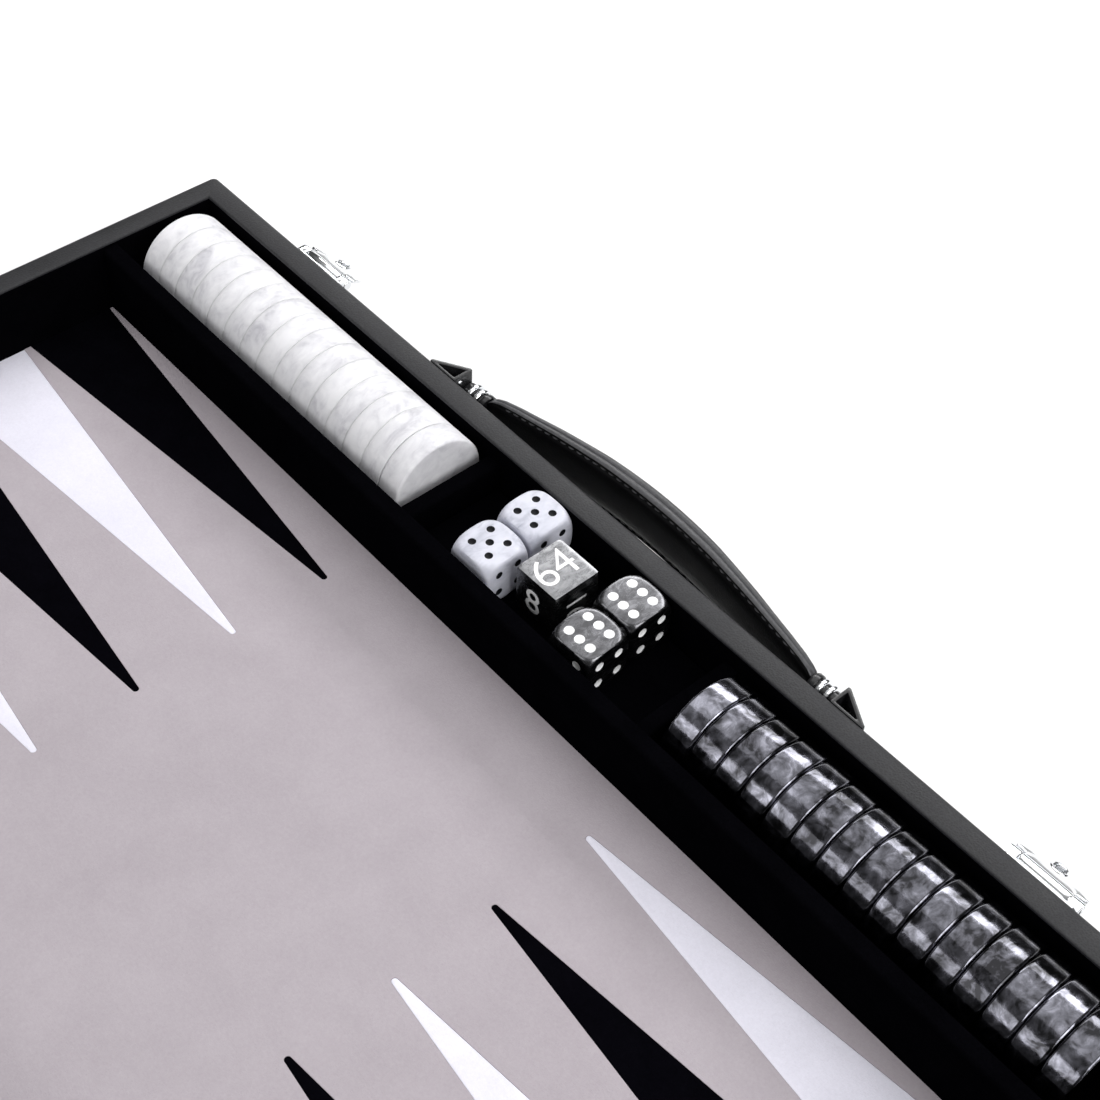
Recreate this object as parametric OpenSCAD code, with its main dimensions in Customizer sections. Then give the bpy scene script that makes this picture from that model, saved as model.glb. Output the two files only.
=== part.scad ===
// Travel backgammon set in a folding attache case, shown open flat.
// Origin: centre of the underside of the half that carries the handle.
// +X runs along the handle side, +Y points out to the handle, +Z is up.

/* [Case] */
// length of both halves along the handle side
case_length = 460; // [380:1:540]
// height of one half, underside to rim
half_height = 37.5; // [34:0.5:48]
// full wall thickness with skin and lining
wall = 9; // [7:0.5:12]
// leatherette skin thickness
skin = 1; // [0.8:0.1:1.5]
// felt lining thickness
felt = 1; // [0.8:0.1:1.5]
// wooden bottom panel thickness
panel = 4; // [3:0.5:5]
// gap between the two halves at the hinge
hinge_gap = 0.8; // [0.6:0.1:1.5]

/* [Troughs] */
// clear width of a checker trough
trough_width = 39.5; // [38:0.5:44]
// long divider thickness with lining
divider_wide = 6.5; // [5:0.5:9]
// drop from the rim to the divider's top
divider_drop = 2; // [1:0.5:6]
// cross partition thickness with lining
partition_wide = 6; // [5:0.5:8]
// distance between the two partitions' inner faces
dice_room = 106; // [100:1:116]
// drop from the rim to a partition's top
partition_drop = 8; // [4:0.5:14]
// thickness of the foam pad under the dice
pad_high = 13; // [8:0.5:14]

/* [Field] */
// width of one point at its base
point_pitch = 36; // [34:0.5:40]
// strip of the field left between two points where they meet the wall
point_gap = 2.5; // [0.2:0.1:4]
// length of one point
point_length = 157; // [130:1:175]
// thickness of the felt-covered field board
field_thick = 3.5; // [3:0.5:5]
// depth of the inlaid points
inlay = 1; // [0.6:0.1:1.5]

/* [Checkers, dice and cups] */
// checker diameter
checker_wide = 36; // [32:0.5:37]
// checker thickness
checker_thick = 9.85; // [8:0.05:10]
// spacing of the stored light checkers
light_pitch = 9.97; // [9.86:0.01:10.2]
// spacing of the stored dark checkers
dark_pitch = 9.87; // [9.86:0.01:10.2]
// radius of a checker's rounded rim
checker_edge = 1.9; // [1:0.1:3]
// light die edge length
light_die = 18; // [14:0.5:18]
// dark die edge length
dark_die = 18; // [14:0.5:18]
// doubling cube edge length
cube_edge = 18; // [16:0.5:20]
// dice cup height
cup_high = 82; // [70:1:90]
// dice cup width
cup_wide = 62; // [56:1:66]
// dice cup thickness
cup_thick = 48; // [42:1:50]
// dice cup wall
cup_wall = 2.5; // [2:0.5:4]

/* [Handle] */
// strap width in the middle
strap_wide = 22; // [20:0.5:24]
// thickness of the padded strap in the middle
strap_thick = 7; // [4:0.5:8]
// how far the strap's outer side stands off the case
strap_bow = 18; // [16:0.5:24]
// half length of the strap
strap_half = 76; // [60:1:90]
// pivot distance from the case side
pivot_out = 5.8; // [5.5:0.1:8]
// pivot height over the underside
pivot_high = 29; // [26:0.5:30]

/* [Latches] */
// latch distance from the case centre
latch_x = 166; // [130:1:190]
// hasp width
hasp_wide = 25; // [20:1:28]
// hasp reach from its pin
hasp_long = 15; // [14:0.5:18]
// hasp angle below level when open
hasp_drop = 32; // [10:1:50]

/* [Hidden] */
$fn = 96;
e = 0.01;
// glue line between separate boards and wraps
seam = 0.05;
half_depth = 2*wall + trough_width + divider_wide + 6*point_pitch;
hx = case_length/2;
hy = half_depth/2;
rim = half_height;
hinge_y = -hy - hinge_gap/2;
floor_z = skin + panel;
trough_floor = floor_z + felt;
field_z = floor_z + field_thick;
in_x = hx - wall;
in_y = hy - wall;
div_in = in_y - trough_width;
div_out = div_in - divider_wide;
div_top = rim - divider_drop;
part_in = dice_room/2;
part_out = part_in + partition_wide;
part_top = rim - partition_drop;
pad_top = trough_floor + pad_high;
trough_mid = (in_y + div_in)/2;
light_y = trough_mid + 1.6;
dark_y = trough_mid + 0.8;
checker_z = trough_floor + checker_wide/2;
light_first = -in_x + 9.1 + checker_thick/2;
dark_first = part_out + 3.6 + checker_thick/2;
knuckle_r = 2.5;
hinge_pin_r = 1;
hinge_half = 220;
hinge_step = 40;
pivot_y = hy + pivot_out;
strap_end = 1.75;
tang_x = strap_half - 4;
tang_y = (strap_outer(tang_x) + strap_inner(tang_x))/2;
pin_r = 1.5;
fit = 0.02;
plate_thick = 1.2;
hasp_pin_y = hy + 3.6;
hasp_pin_z = rim - 4.5;
hasp_pin_r = 1;
hasp_knuckle_r = 2.2;
hole_u = 8.3;
catch_z = 2*rim - (hasp_pin_z + hole_u);
cup_lip = 1.2;

// ---- helpers ----

// box given by its two corners
module box(a, b) { translate(a) cube([b[0]-a[0], b[1]-a[1], b[2]-a[2]]); }

// cylinder along X between two stations
module rod_x(x0, x1, y, z, r) {
  translate([x0, y, z]) rotate([0, 90, 0]) cylinder(h = x1 - x0, r = r);
}

// the lid half is the base half turned half way round, beyond the hinge
module as_lid() { translate([0, 2*hinge_y, 0]) rotate([0, 0, 180]) children(); }

// plan of one mitred side: 0 handle side, 1 right end, 2 hinge side, 3 left end
module side_sector(k) {
  d = hy - 1;
  c = hx - d;
  g = seam;
  linear_extrude(height = rim + 2)
    if (k == 0) polygon([[-hx + g, hy], [hx - g, hy], [c - g, 1], [-c + g, 1]]);
    else if (k == 1) polygon([[hx, -hy + g], [hx, hy - g], [c, 1 - g], [c, -1 + g]]);
    else if (k == 2) polygon([[-hx + g, -hy], [hx - g, -hy], [c - g, -1], [-c + g, -1]]);
    else polygon([[-hx, -hy + g], [-hx, hy - g], [-c, 1 - g], [-c, -1 + g]]);
}

// room cut out of a half's hinge side for the hinge leaf and its knuckles
module hinge_rebate() {
  box([-hinge_half - 0.2, hinge_y - 1, rim - skin], [hinge_half + 0.2, -in_y - 0.9, rim + 1]);
  rod_x(-hinge_half - 0.2, hinge_half + 0.2, hinge_y, rim, knuckle_r + 0.3);
}

// ---- one half of the case ----

// divider and partition cores, which stand in the lining
module cores() {
  z0 = floor_z + seam;
  box([-in_x - felt + seam, div_out + felt, z0], [in_x + felt - seam, div_in - felt, div_top - felt]);
  for (s = [-1, 1])
    box([s*(part_in + part_out)/2 - (partition_wide/2 - felt), div_in - felt + seam, z0],
        [s*(part_in + part_out)/2 + (partition_wide/2 - felt), in_y + felt - seam, part_top - felt]);
}

// mitred boards, bottom panel, divider and partitions
module half_tray() {
  box([-hx + skin, -hy + skin, skin], [hx - skin, hy - skin, floor_z]);
  cores();
  difference() {
    for (k = [0:3]) intersection() {
      difference() {
        box([-hx + skin, -hy + skin, floor_z + seam], [hx - skin, hy - skin, rim - skin]);
        box([-in_x - felt, -in_y - felt, floor_z - 1], [in_x + felt, in_y + felt, rim]);
      }
      side_sector(k);
    }
    hinge_rebate();
  }
}

// bottom sheet and four mitred wraps that turn over the rim
module half_cover() {
  box([-hx, -hy, 0], [hx, hy, skin]);
  difference() {
    for (k = [0:3]) intersection() {
      difference() {
        box([-hx, -hy, skin + seam], [hx, hy, rim]);
        box([-hx + skin, -hy + skin, 0], [hx - skin, hy - skin, rim - skin]);
        box([-in_x, -in_y, 0], [in_x, in_y, rim + 1]);
      }
      side_sector(k);
    }
    hinge_rebate();
  }
}

// felt on the inner walls, trough floor, divider and partitions
module half_lining() {
  difference() {
    union() {
      difference() {
        box([-in_x - felt, -in_y - felt, floor_z], [in_x + felt, in_y + felt, rim - skin]);
        box([-in_x, -in_y, floor_z - 1], [in_x, in_y, rim]);
      }
      box([-in_x - e, div_in - e, floor_z], [in_x + e, in_y + e, trough_floor]);
      box([-in_x - e, div_out, floor_z], [in_x + e, div_in, div_top]);
      for (s = [-1, 1])
        box([s*(part_in + part_out)/2 - partition_wide/2, div_in - e, floor_z],
            [s*(part_in + part_out)/2 + partition_wide/2, in_y + e, part_top]);
    }
    cores();
  }
}

// one point, base at x = 0, tip towards +X
module point_shape() {
  tip_r = 1.1;
  b = (point_pitch - point_gap)/2;
  q = point_length - tip_r;
  s = tip_r/sqrt(1 + b*b/(q*q));
  polygon([[0, -b], [0, b], [q, s], [q, -s]]);
  translate([q, 0]) circle(r = tip_r);
}

// six points at each end; parity picks which of them
module point_row(dark, z0, z1) {
  for (i = [0:5]) {
    y = div_out - point_pitch*(i + 0.5);
    if ((i % 2 == 0) == dark)
      translate([-in_x, y, z0]) linear_extrude(height = z1 - z0) point_shape();
    else
      translate([in_x, y, z0]) rotate([0, 0, 180]) linear_extrude(height = z1 - z0) point_shape();
  }
}

// felt board with pockets for the inlaid points
module half_field() {
  difference() {
    box([-in_x, -in_y, floor_z], [in_x, div_out, field_z]);
    point_row(true, field_z - inlay, field_z + 1);
    point_row(false, field_z - inlay, field_z + 1);
  }
}

// ---- hinge ----

// flat leaf in the rim's rebate, with the knuckles numbered from first
module hinge_leaf(first, bore) {
  difference() {
    union() {
      box([-hinge_half, hinge_y + knuckle_r + 0.3, rim - skin], [hinge_half, -in_y - 1, rim]);
      for (i = [first:2:10]) {
        x0 = -hinge_half + i*hinge_step + 0.15;
        x1 = -hinge_half + (i + 1)*hinge_step - 0.15;
        rod_x(x0, x1, hinge_y, rim, knuckle_r);
        box([x0, hinge_y + 1.6, rim - skin], [x1, hinge_y + knuckle_r + 0.4, rim]);
      }
    }
    rod_x(-hinge_half - 1, hinge_half + 1, hinge_y, rim, bore);
  }
}

// ---- handle ----

// how far the strap is bent out at x: 1 in the middle, straightening towards its ends
function strap_bend(x) = (1 + cos(180*x/(1.25*strap_half)))/2;
function strap_outer(x) = pivot_y + strap_end + (strap_bow - pivot_out - strap_end)*strap_bend(x);
function strap_inner(x) = pivot_y - strap_end
  + (strap_bow - strap_thick - pivot_out + strap_end)*strap_bend(x);

// stitched padded strap: a shallow bow with rounded ends, slotted for the end tangs
module strap() {
  hw = strap_wide/2;
  xs = [for (k = [-19:19]) k*strap_half/19];
  difference() {
    intersection() {
      translate([0, 0, pivot_high - hw]) linear_extrude(height = strap_wide)
        polygon(concat([for (x = xs) [x, strap_outer(x)]], [for (x = xs) [-x, strap_inner(x)]]));
      translate([0, hy + 40, pivot_high]) rotate([90, 0, 0]) linear_extrude(height = 60)
        strap_plan(hw);
    }
    tangs();
  }
}

// the strap laid flat: widest in the middle, narrow and rounded at its ends
module strap_plan(hw) {
  right = [[0.33, 0.97], [0.6, 0.87], [0.83, 0.7], [0.92, 0.58], [0.97, 0.44], [0.995, 0.3]];
  flip = [for (k = [len(right) - 1:-1:0]) right[k]];
  polygon(concat(
    [for (q = right) [q[0]*strap_half, q[1]*hw]], [for (q = flip) [q[0]*strap_half, -q[1]*hw]],
    [for (q = right) [-q[0]*strap_half, -q[1]*hw]], [for (q = flip) [-q[0]*strap_half, q[1]*hw]]));
}

// flat tangs of the end fittings, inside the strap
module tangs() {
  for (s = [-1, 1]) translate([s*tang_x, tang_y, pivot_high])
    rotate([0, 0, -s*6]) cube([10, 1.4, 4.4], center = true);
}

// chrome end fitting with two polished bands, bored for its pin
module end_fitting(s) {
  mirror([s < 0 ? 1 : 0, 0, 0]) difference() {
    union() {
      rod_x(strap_half, strap_half + 2.6, pivot_y, pivot_high, 4.2);
      rod_x(strap_half + 2.5, strap_half + 11, pivot_y, pivot_high, 3.4);
      rod_x(strap_half + 3.2, strap_half + 5.1, pivot_y, pivot_high, 4.6);
      rod_x(strap_half + 6.5, strap_half + 8.4, pivot_y, pivot_high, 4.6);
      intersection() {
        tangs();
        box([strap_half - 12, hy, 0], [strap_half + 0.5, hy + 30, rim]);
      }
    }
    rod_x(strap_half + 1.5, strap_half + 14, pivot_y, pivot_high, pin_r + 0.05);
  }
}

// wedge bracket bent from thin strip, open top and bottom, with its pivot pin
module bracket(s) {
  x0 = strap_half + 11.5;
  mirror([s < 0 ? 1 : 0, 0, 0]) {
    difference() {
      translate([0, 0, pivot_high - 8]) linear_extrude(height = 16) difference() {
        polygon([[x0, hy], [x0, hy + 8.2], [x0 + 1, hy + 8.2], [x0 + 13, hy + 1], [x0 + 13, hy]]);
        polygon([[x0 + 1.2, hy + 1], [x0 + 1.2, hy + 6.5], [x0 + 10.2, hy + 1]]);
      }
      rod_x(x0 - 1, x0 + 1.3, pivot_y, pivot_high, pin_r + fit);
    }
    rod_x(strap_half + 1.7, x0 + 1.2, pivot_y, pivot_high, pin_r);
  }
}

// ---- latches ----

// wall plate with two ears and its pin
module latch_plate(x) {
  difference() {
    union() {
      box([x - 13, hy, rim - 22], [x + 13, hy + plate_thick, rim - 1.5]);
      for (s = [-1, 1]) {
        rod_x(x + s*11 - 2, x + s*11 + 2, hasp_pin_y, hasp_pin_z, hasp_knuckle_r);
        box([x + s*11 - 2, hy + 1, hasp_pin_z - hasp_knuckle_r],
            [x + s*11 + 2, hasp_pin_y, hasp_pin_z + hasp_knuckle_r]);
      }
    }
    rod_x(x - 15, x + 15, hasp_pin_y, hasp_pin_z, hasp_pin_r + fit);
  }
  rod_x(x - 12.8, x + 12.8, hasp_pin_y, hasp_pin_z, hasp_pin_r);
  for (s = [-1, 1]) translate([x + s*9, hy + plate_thick, rim - 18]) rotate([-90, 0, 0])
    cylinder(h = 0.8, r = 2);
}

// half-round hasp with the snap hole, drawn upright and then swung open
module hasp(x) {
  hw = hasp_wide/2;
  c = hasp_long - hw;
  translate([x, hasp_pin_y, hasp_pin_z]) rotate([-90 - hasp_drop, 0, 0]) {
    difference() {
      union() {
        rod_x(-8.7, 8.7, 0, 0, hasp_knuckle_r);
        box([-8.7, -2, 0], [8.7, -0.8, 3]);
        translate([0, -0.8, 0]) rotate([90, 0, 0]) linear_extrude(height = plate_thick) {
          intersection() {
            translate([0, c]) circle(r = hw);
            translate([-hw - 1, 2.9]) square([2*hw + 2, hasp_long]);
          }
        }
        translate([0, -0.8 - e, hole_u]) rotate([-90, 0, 0]) cylinder(h = 0.8, r = 3.2);
      }
      rod_x(-10, 10, 0, 0, hasp_pin_r + 0.05);
      translate([0, -3, hole_u]) rotate([-90, 0, 0]) cylinder(h = 5, r = 2.2);
    }
  }
}

// lid plate and stud that the hasp snaps over
module catch_plate(x) {
  translate([x, 2*hinge_y - hy, catch_z]) {
    box([-12, -plate_thick, -8.5], [12, 0, 3]);
    rotate([90, 0, 0]) cylinder(h = 3.4, r = 1.8);
    for (s = [-1, 1]) translate([s*8.8, -plate_thick, -3]) rotate([90, 0, 0]) cylinder(h = 0.3, r = 1.6);
  }
}

// ---- playing pieces ----

// a checker standing on its rim, axis along X
module checker(x, y) {
  r = checker_edge;
  translate([x, y, checker_z]) rotate([0, 90, 0]) rotate_extrude() {
    translate([0, -checker_thick/2]) square([checker_wide/2 - r, checker_thick]);
    translate([0, -checker_thick/2 + r]) square([checker_wide/2, checker_thick - 2*r]);
    for (s = [-1, 1]) translate([checker_wide/2 - r, s*(checker_thick/2 - r)]) circle(r = r);
  }
}
module light_checker(i) { checker(light_first + (i - 1)*light_pitch, light_y); }
module dark_checker(i) { checker(dark_first + (i - 1)*dark_pitch, dark_y); }

// dimples of one number on the top face, in units of the pip spacing
module pips(n, s, k, r, depth) {
  spots = [
    [[0, 0]], [[-1, -1], [1, 1]], [[-1, -1], [0, 0], [1, 1]],
    [[-1, -1], [-1, 1], [1, -1], [1, 1]],
    [[-1, -1], [-1, 1], [0, 0], [1, -1], [1, 1]],
    [[-1, -1], [-1, 1], [0, -1], [0, 1], [1, -1], [1, 1]]
  ];
  for (p = spots[n - 1])
    translate([p[0]*k*(n == 6 ? 1.13 : 1), p[1]*k, s/2 + r - depth]) sphere(r = r);
}

// die with dimples of sphere radius r; numbers in order top, +X, +Y, -X, -Y, bottom
module die(s, corner, k, r, n) {
  d = 0.5;
  difference() {
    intersection() {
      cube(s, center = true);
      sphere(r = corner*s);
    }
    pips(n[0], s, k, r, d);
    rotate([0, 90, 0]) pips(n[1], s, k, r, d);
    rotate([-90, 0, 0]) pips(n[2], s, k, r, d);
    rotate([0, -90, 0]) pips(n[3], s, k, r, d);
    rotate([90, 0, 0]) pips(n[4], s, k, r, d);
    rotate([180, 0, 0]) pips(n[5], s, k, r, d);
  }
}
module light_die_at(x, y) {
  translate([x, y, pad_top + light_die/2]) die(light_die, 0.73, 3.95, 2.2, [5, 4, 6, 3, 1, 2]);
}
module dark_die_at(x, y) {
  translate([x, y, pad_top + dark_die/2]) die(dark_die, 0.74, 4.05, 3.2, [6, 4, 5, 3, 2, 1]);
}

// oval dice cup lying on its flat side in the lid, mouth towards the hinge
module cup(x, y, turn) {
  translate([x, y, field_z + cup_thick/2]) rotate([0, 0, turn]) rotate([-90, 0, 0])
    difference() {
      linear_extrude(height = cup_high) cup_plan(0);
      translate([0, 0, 3]) linear_extrude(height = cup_high - 12) cup_plan(cup_wall);
      translate([0, 0, cup_high - 9 - e]) linear_extrude(height = 10) cup_plan(cup_wall + cup_lip);
    }
}
module cup_plan(inset) {
  c = (cup_wide - cup_thick)/2;
  r = cup_thick/2 - inset;
  square([2*c, 2*r], center = true);
  for (s = [-1, 1]) translate([s*c, 0]) circle(r = r);
}

// ---- nodes ----

module base_tray() { color("#b08a5a") half_tray(); }
module base_cover() { color("#2c2c2e") half_cover(); }
module base_lining() { color("#101012") half_lining(); }
module base_field() { color("#b4acad") half_field(); }
module base_points_dark() { color("#0c0c0d") point_row(true, field_z - inlay, field_z); }
module base_points_light() { color("#e8e6f0") point_row(false, field_z - inlay, field_z); }
module dice_pad() {
  color("#131315") box([-part_in, div_in, trough_floor], [part_in, in_y, pad_top]);
}
module lid_tray() { color("#b08a5a") as_lid() half_tray(); }
module lid_cover() { color("#2c2c2e") as_lid() half_cover(); }
module lid_lining() { color("#101012") as_lid() half_lining(); }
module lid_field() { color("#b4acad") as_lid() half_field(); }
module lid_points_dark() { color("#0c0c0d") as_lid() point_row(true, field_z - inlay, field_z); }
module lid_points_light() { color("#e8e6f0") as_lid() point_row(false, field_z - inlay, field_z); }
module hinge_leaf_base() { color("#c9ccd0") hinge_leaf(0, hinge_pin_r); }
module hinge_leaf_lid() { color("#c9ccd0") as_lid() hinge_leaf(1, hinge_pin_r + 0.05); }
module hinge_pin() { color("#b5b8bc") rod_x(-hinge_half, hinge_half, hinge_y, rim, hinge_pin_r); }
module handle_brackets() { color("#18181a") for (s = [-1, 1]) bracket(s); }
module handle_strap() { color("#242426") strap(); }
module handle_ends() { color("#d9dce0") for (s = [-1, 1]) end_fitting(s); }
module latch_plates() { color("#d9dce0") for (s = [-1, 1]) latch_plate(s*latch_x); }
module latch_hasp_left() { color("#d9dce0") hasp(-latch_x); }
module latch_hasp_right() { color("#d9dce0") hasp(latch_x); }
module latch_catches() { color("#d9dce0") for (s = [-1, 1]) catch_plate(s*latch_x); }
module light_checker_01() { color("#ecebf2") light_checker(1); }
module light_checker_02() { color("#ecebf2") light_checker(2); }
module light_checker_03() { color("#ecebf2") light_checker(3); }
module light_checker_04() { color("#ecebf2") light_checker(4); }
module light_checker_05() { color("#ecebf2") light_checker(5); }
module light_checker_06() { color("#ecebf2") light_checker(6); }
module light_checker_07() { color("#ecebf2") light_checker(7); }
module light_checker_08() { color("#ecebf2") light_checker(8); }
module light_checker_09() { color("#ecebf2") light_checker(9); }
module light_checker_10() { color("#ecebf2") light_checker(10); }
module light_checker_11() { color("#ecebf2") light_checker(11); }
module light_checker_12() { color("#ecebf2") light_checker(12); }
module light_checker_13() { color("#ecebf2") light_checker(13); }
module light_checker_14() { color("#ecebf2") light_checker(14); }
module light_checker_15() { color("#ecebf2") light_checker(15); }
module dark_checker_01() { color("#2e2f33") dark_checker(1); }
module dark_checker_02() { color("#2e2f33") dark_checker(2); }
module dark_checker_03() { color("#2e2f33") dark_checker(3); }
module dark_checker_04() { color("#2e2f33") dark_checker(4); }
module dark_checker_05() { color("#2e2f33") dark_checker(5); }
module dark_checker_06() { color("#2e2f33") dark_checker(6); }
module dark_checker_07() { color("#2e2f33") dark_checker(7); }
module dark_checker_08() { color("#2e2f33") dark_checker(8); }
module dark_checker_09() { color("#2e2f33") dark_checker(9); }
module dark_checker_10() { color("#2e2f33") dark_checker(10); }
module dark_checker_11() { color("#2e2f33") dark_checker(11); }
module dark_checker_12() { color("#2e2f33") dark_checker(12); }
module dark_checker_13() { color("#2e2f33") dark_checker(13); }
module dark_checker_14() { color("#2e2f33") dark_checker(14); }
module dark_checker_15() { color("#2e2f33") dark_checker(15); }
module light_die_1() { color("#ecebf2") light_die_at(-24.2, trough_mid + 10.5); }
module light_die_2() { color("#ecebf2") light_die_at(-23.4, trough_mid - 8.95); }
module dark_die_1() { color("#55565b") dark_die_at(22, trough_mid + 10.35); }
module dark_die_2() { color("#55565b") dark_die_at(23.3, trough_mid - 8.85); }
module doubling_cube() {
  color("#7b7c82") translate([-1.6, trough_mid + 0.4, pad_top + cube_edge/2]) intersection() {
    cube(cube_edge, center = true);
    rotate([45, 0, 0]) cube((cube_edge - 0.9)*sqrt(2), center = true);
    rotate([0, 45, 0]) cube((cube_edge - 0.9)*sqrt(2), center = true);
    rotate([0, 0, 45]) cube((cube_edge - 0.9)*sqrt(2), center = true);
    sphere(r = cube_edge*0.85);
  }
}
module dice_cup_1() { color("#242426") cup(-62, 2*hinge_y - 40, 4); }
module dice_cup_2() { color("#242426") cup(48, 2*hinge_y - 50, -5); }

base_tray();
base_cover();
base_lining();
base_field();
base_points_dark();
base_points_light();
dice_pad();
lid_tray();
lid_cover();
lid_lining();
lid_field();
lid_points_dark();
lid_points_light();
hinge_leaf_base();
hinge_leaf_lid();
hinge_pin();
handle_brackets();
handle_strap();
handle_ends();
latch_plates();
latch_hasp_left();
latch_hasp_right();
latch_catches();
light_checker_01();
light_checker_02();
light_checker_03();
light_checker_04();
light_checker_05();
light_checker_06();
light_checker_07();
light_checker_08();
light_checker_09();
light_checker_10();
light_checker_11();
light_checker_12();
light_checker_13();
light_checker_14();
light_checker_15();
dark_checker_01();
dark_checker_02();
dark_checker_03();
dark_checker_04();
dark_checker_05();
dark_checker_06();
dark_checker_07();
dark_checker_08();
dark_checker_09();
dark_checker_10();
dark_checker_11();
dark_checker_12();
dark_checker_13();
dark_checker_14();
dark_checker_15();
light_die_1();
light_die_2();
dark_die_1();
dark_die_2();
doubling_cube();
dice_cup_1();
dice_cup_2();
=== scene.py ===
import math

import bmesh
import bpy
import numpy as np
from mathutils import Matrix, Vector


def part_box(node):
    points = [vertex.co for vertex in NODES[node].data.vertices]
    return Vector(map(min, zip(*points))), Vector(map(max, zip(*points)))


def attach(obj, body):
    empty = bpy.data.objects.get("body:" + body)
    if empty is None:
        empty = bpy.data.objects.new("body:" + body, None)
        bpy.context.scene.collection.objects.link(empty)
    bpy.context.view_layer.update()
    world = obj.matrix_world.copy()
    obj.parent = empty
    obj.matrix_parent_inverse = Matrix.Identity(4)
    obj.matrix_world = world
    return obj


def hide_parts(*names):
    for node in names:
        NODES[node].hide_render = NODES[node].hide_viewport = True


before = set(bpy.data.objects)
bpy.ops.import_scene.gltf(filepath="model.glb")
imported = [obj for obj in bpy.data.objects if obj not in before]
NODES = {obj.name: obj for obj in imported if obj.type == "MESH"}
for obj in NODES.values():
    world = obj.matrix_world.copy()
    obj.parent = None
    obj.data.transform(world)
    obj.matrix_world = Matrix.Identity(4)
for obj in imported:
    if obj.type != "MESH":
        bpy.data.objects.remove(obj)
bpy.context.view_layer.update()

MM = 0.001

# ---------------------------------------------------------------- sizes, mm, as in the CAD
HX, HY, RIM, WALL = 230.0, 140.0, 37.5, 9.0  # half length, half depth and height of a case half, its wall
IN_X, IN_Y = HX - WALL, HY - WALL
DIV_IN, DIV_OUT, DIV_TOP = 91.5, 85.0, 35.5  # long divider: trough face, field face, top
PART_IN, PART_OUT, PART_TOP = 53.0, 59.0, 29.5  # cross partitions: faces and top
FLOOR_Z, TROUGH_Z, FIELD_Z = 5.0, 6.0, 8.5
PAD_TOP = 19.0
HINGE_Y = -140.4
LEAF_SLOT = 220.2  # half length of the hinge and its play
SCREWS = [-209 + 38 * k for k in range(12)]  # x of the hinge screws
SCREW_Y = -134.9
PITCH, POINT_BASE, POINT_TIP = 36, 16.75, 155.9  # points: pitch, half base, centre of the round tip
CHECKER_R = 18.0
DIE = 18
PIVOT = (145.8, 29.0)  # y, z of the handle's pins
STRAP_END, STRAP_WIDE = 76.0, 11.0  # half length and half width of the strap
STRAP_BOW = 95.0  # x where the bow of the strap would end
BRACKET_X = 87.5
LATCHES = (-166.0, 166.0)
LATCH_PIN = (143.6, 33.0)
CUP_R, CUP_FLAT = 24.0, 7


def mid(node):
    lo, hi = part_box(node)
    return (lo + hi) / 2 / MM


# ---------------------------------------------------------------- node helpers
def material(name, rough=0.5, metal=0.0, **sockets):
    m = bpy.data.materials.new(name)
    m.use_nodes = True
    b = m.node_tree.nodes["Principled BSDF"]
    b.inputs["Roughness"].default_value = rough
    b.inputs["Metallic"].default_value = metal
    for key, value in sockets.items():
        b.inputs[key.replace("_", " ")].default_value = value
    return m, m.node_tree, b


def coords(nt, scale=(1, 1, 1)):
    """object coordinates, stretched"""
    t = nt.nodes.new("ShaderNodeTexCoord")
    g = nt.nodes.new("ShaderNodeMapping")
    g.inputs["Scale"].default_value = scale
    nt.links.new(t.outputs["Object"], g.inputs["Vector"])
    return g.outputs["Vector"]


def noise(nt, vec, scale, detail=2.0, rough=0.5, distort=0.0, w=None):
    """value of a noise; w picks another cut through it for each piece"""
    n = nt.nodes.new("ShaderNodeTexNoise")
    n.inputs["Scale"].default_value = scale
    n.inputs["Detail"].default_value = detail
    n.inputs["Roughness"].default_value = rough
    n.inputs["Distortion"].default_value = distort
    nt.links.new(vec, n.inputs["Vector"])
    if w is not None:
        n.noise_dimensions = "4D"
        nt.links.new(w, n.inputs["W"])
    return n.outputs["Fac"]


def pebbles(nt, vec, scale, smooth):
    n = nt.nodes.new("ShaderNodeTexVoronoi")
    n.feature = "SMOOTH_F1"
    n.inputs["Scale"].default_value = scale
    n.inputs["Smoothness"].default_value = smooth
    nt.links.new(vec, n.inputs["Vector"])
    return n.outputs["Distance"]


def ramp(nt, fac, stops):
    r = nt.nodes.new("ShaderNodeValToRGB")
    e = r.color_ramp.elements
    while len(e) < len(stops):
        e.new(0.5)
    for k, (at, col) in enumerate(stops):
        e[k].position = at
        e[k].color = (*col, 1)
    nt.links.new(fac, r.inputs["Fac"])
    return r.outputs["Color"]


def math_node(nt, op, a, b):
    n = nt.nodes.new("ShaderNodeMath")
    n.operation = op
    for k, x in enumerate((a, b)):
        if isinstance(x, (int, float)):
            n.inputs[k].default_value = x
        else:
            nt.links.new(x, n.inputs[k])
    return n.outputs[0]


def mixed(nt, *terms):
    """sum of (value, weight) pairs"""
    total = None
    for x, weight in terms:
        if weight != 1:
            x = math_node(nt, "MULTIPLY", x, weight)
        total = x if total is None else math_node(nt, "ADD", total, x)
    return total


def remap(nt, fac, lo, hi, a, b):
    n = nt.nodes.new("ShaderNodeMapRange")
    for k, x in zip(("From Min", "From Max", "To Min", "To Max"), (lo, hi, a, b)):
        n.inputs[k].default_value = x
    nt.links.new(fac, n.inputs["Value"])
    return n.outputs["Result"]


def bump(nt, b, height, strength, distance):
    n = nt.nodes.new("ShaderNodeBump")
    n.inputs["Strength"].default_value = strength
    n.inputs["Distance"].default_value = distance
    nt.links.new(height, n.inputs["Height"])
    nt.links.new(n.outputs["Normal"], b.inputs["Normal"])


def colour(nt, b, fac, stops):
    nt.links.new(ramp(nt, fac, stops), b.inputs["Base Color"])


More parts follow.
